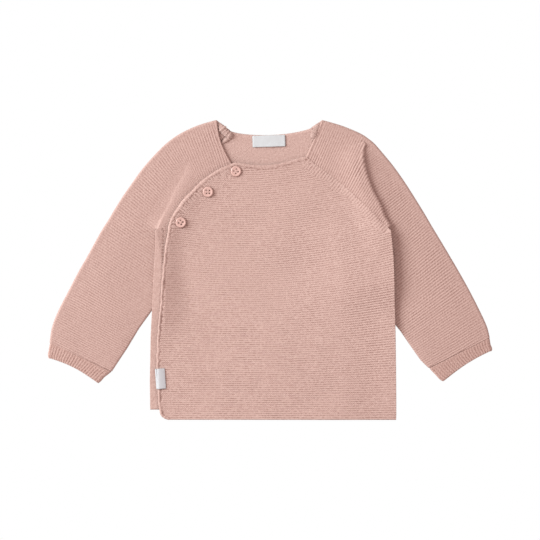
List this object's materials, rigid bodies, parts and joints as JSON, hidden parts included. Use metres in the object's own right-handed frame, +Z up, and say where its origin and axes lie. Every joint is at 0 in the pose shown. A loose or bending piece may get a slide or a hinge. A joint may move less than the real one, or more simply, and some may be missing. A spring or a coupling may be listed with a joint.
{
  "type": "baby's knitted overlap top",
  "caption": "Baby's garter-stitch overlap top with long raglan sleeves and rib cuffs, buttoned along a curved side-front edge and laid flat.",
  "frame": {"origin": "middle of the laid-out top's outline, on the surface that it lies on", "axes": "+Z up from the surface, out of the front of the top; +Y from hem to neck; +X across the top, from the side where the fronts button towards the side with the plain side seam"},
  "size_m": [0.4436, 0.3, 0.0118],
  "materials": {
    "knit": "dusty pink garter stitch, soft and matte",
    "rib": "dusty pink 1x1 rib, soft and matte",
    "button": "pale pink, satin",
    "label": "white woven tape"
  },
  "bodies": {
    "root": {"back": "knit", "front_under": "knit", "front_over": "knit", "sleeve_left": "knit", "sleeve_right": "knit", "cuff_left": "rib", "cuff_right": "rib", "button_1": "button", "button_2": "button", "button_3": "button", "neck_label": "label", "side_label": "label"}
  },
  "joints": []
}
